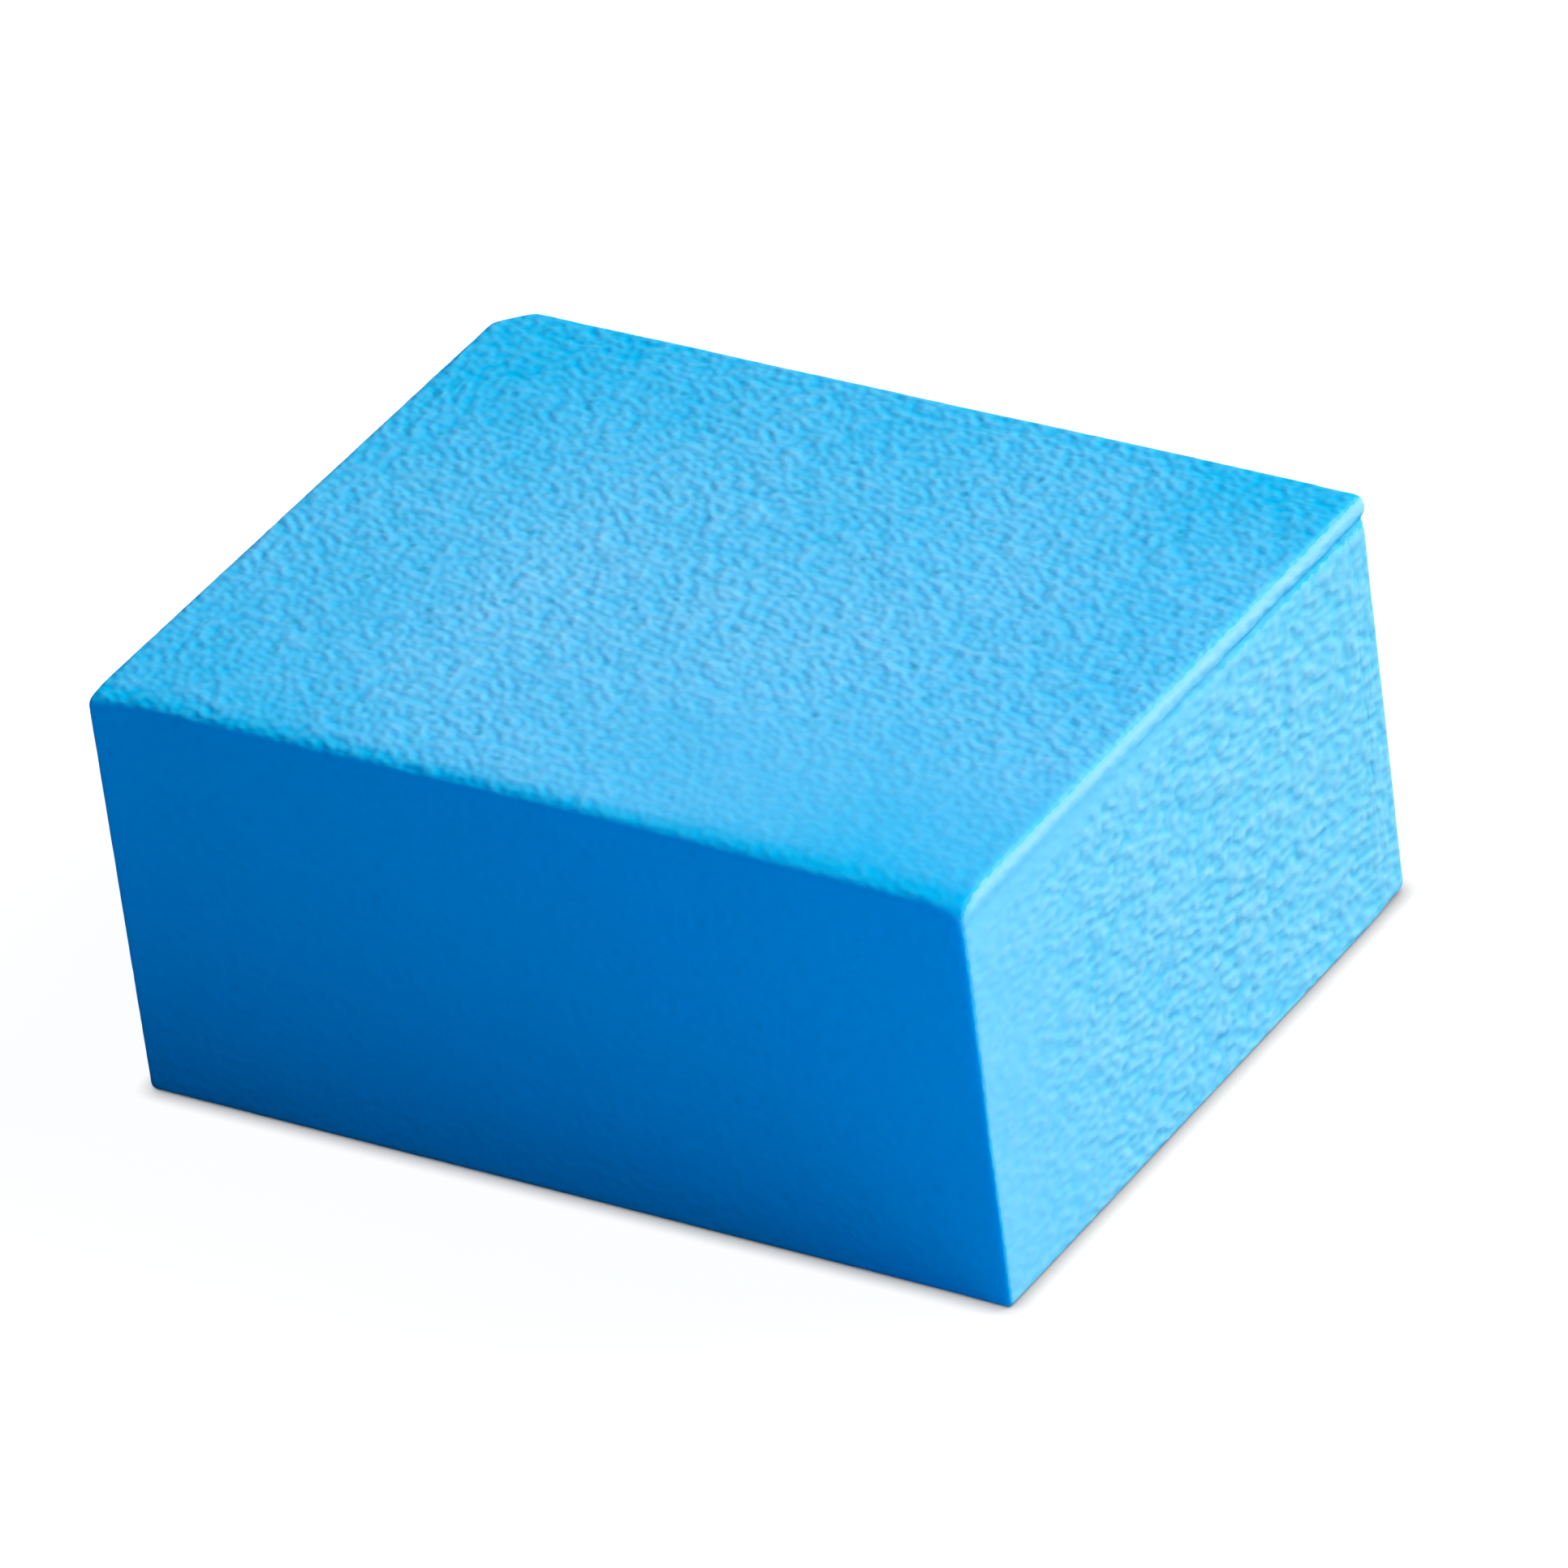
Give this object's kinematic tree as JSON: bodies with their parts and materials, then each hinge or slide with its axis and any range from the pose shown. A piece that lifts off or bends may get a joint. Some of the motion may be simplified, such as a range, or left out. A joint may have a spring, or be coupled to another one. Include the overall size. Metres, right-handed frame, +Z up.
{
  "type": "cleaning sponge",
  "caption": "Rectangular block of blue fine-celled foam with soft edges, a trimmed rear corner and a thin rolled lip along one end, used by hand for wiping and scrubbing.",
  "frame": {"origin": "middle of the underside, on the surface that the sponge rests on", "axes": "+X along the length towards the end with the rolled lip, +Y from the long front side to the rear, +Z up"},
  "size_m": [0.1, 0.078, 0.0465],
  "materials": {
    "foam": "open-celled soft foam, matt, knife-cut skin"
  },
  "bodies": {
    "root": {"foam_block": "foam"}
  },
  "joints": []
}
